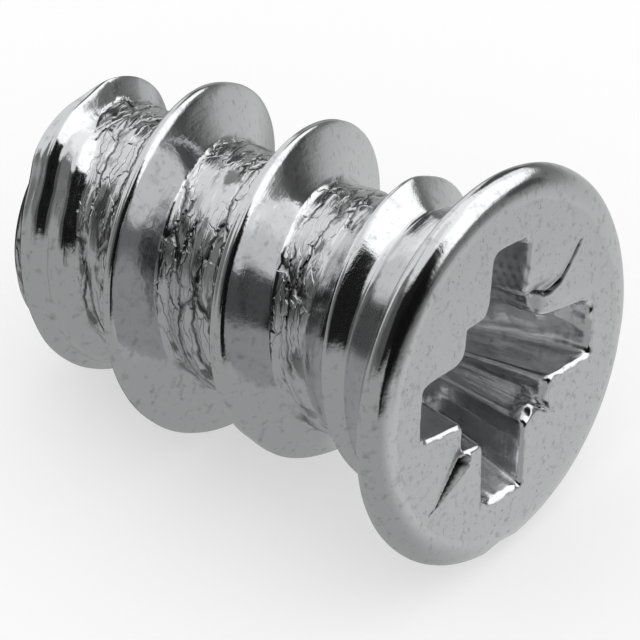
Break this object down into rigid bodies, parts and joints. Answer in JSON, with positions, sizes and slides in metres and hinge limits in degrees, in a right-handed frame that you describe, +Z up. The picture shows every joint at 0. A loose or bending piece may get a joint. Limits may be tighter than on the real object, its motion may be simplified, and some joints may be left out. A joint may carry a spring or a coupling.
{
  "type": "countersunk wood screw",
  "caption": "Short blunt-ended countersunk screw with a coarse rolled thread and a cross recess, for a pre-drilled hole in board; it lies on its side.",
  "frame": {"origin": "on the table, under the middle of the box of the laid screw", "axes": "+X runs along the table from the blunt end to the head, +Z is up; the screw's own axis drops towards the blunt end, because its rim and its thread crests stand on the table"},
  "size_m": [0.0102, 0.0076, 0.0075],
  "materials": {
    "zinc_plated_steel": "bright zinc plating, satin on the face of the head and glossy on the thread's flanks"
  },
  "bodies": {
    "root": {"screw": "zinc_plated_steel"}
  },
  "joints": []
}
